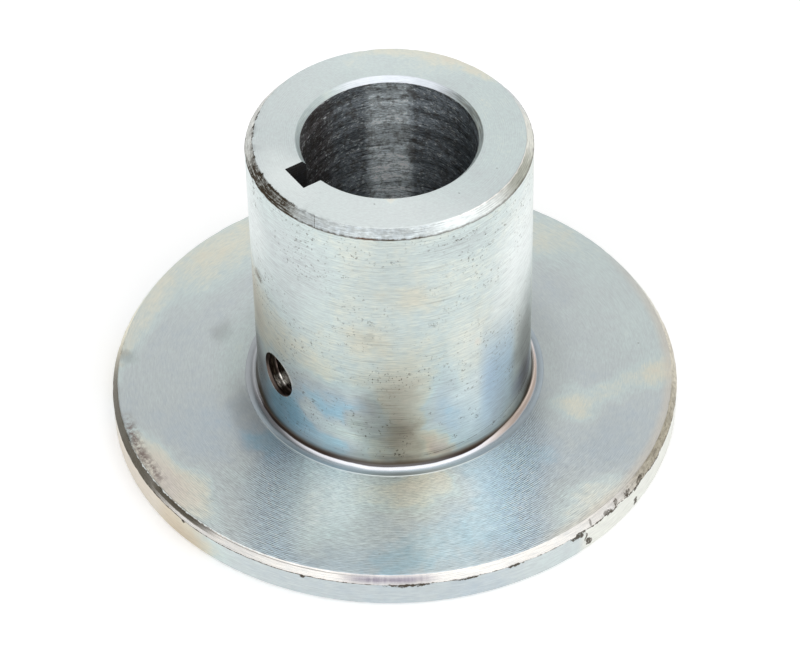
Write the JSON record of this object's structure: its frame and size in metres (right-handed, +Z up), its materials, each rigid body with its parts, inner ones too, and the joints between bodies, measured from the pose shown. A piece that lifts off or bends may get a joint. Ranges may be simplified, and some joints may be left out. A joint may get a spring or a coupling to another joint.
{
  "type": "mower blade adapter",
  "caption": "Turned steel mower blade adapter: a round flange that backs the blade, with a tall keyed hub that slides on the engine crankshaft and is held by a set screw.",
  "frame": {"origin": "centre of the flat underside of the flange, on the axis of the bore", "axes": "+Z runs up the bore axis from the flange to the free end of the hub, and the keyway and the tapped hole that opens into it face -Y"},
  "size_m": [0.084, 0.084, 0.051],
  "materials": {
    "zinc_plated_steel": "turned, zinc plated with a clear blue passivate, tarnished in patches"
  },
  "bodies": {
    "root": {"blade_adapter": "zinc_plated_steel"}
  },
  "joints": []
}
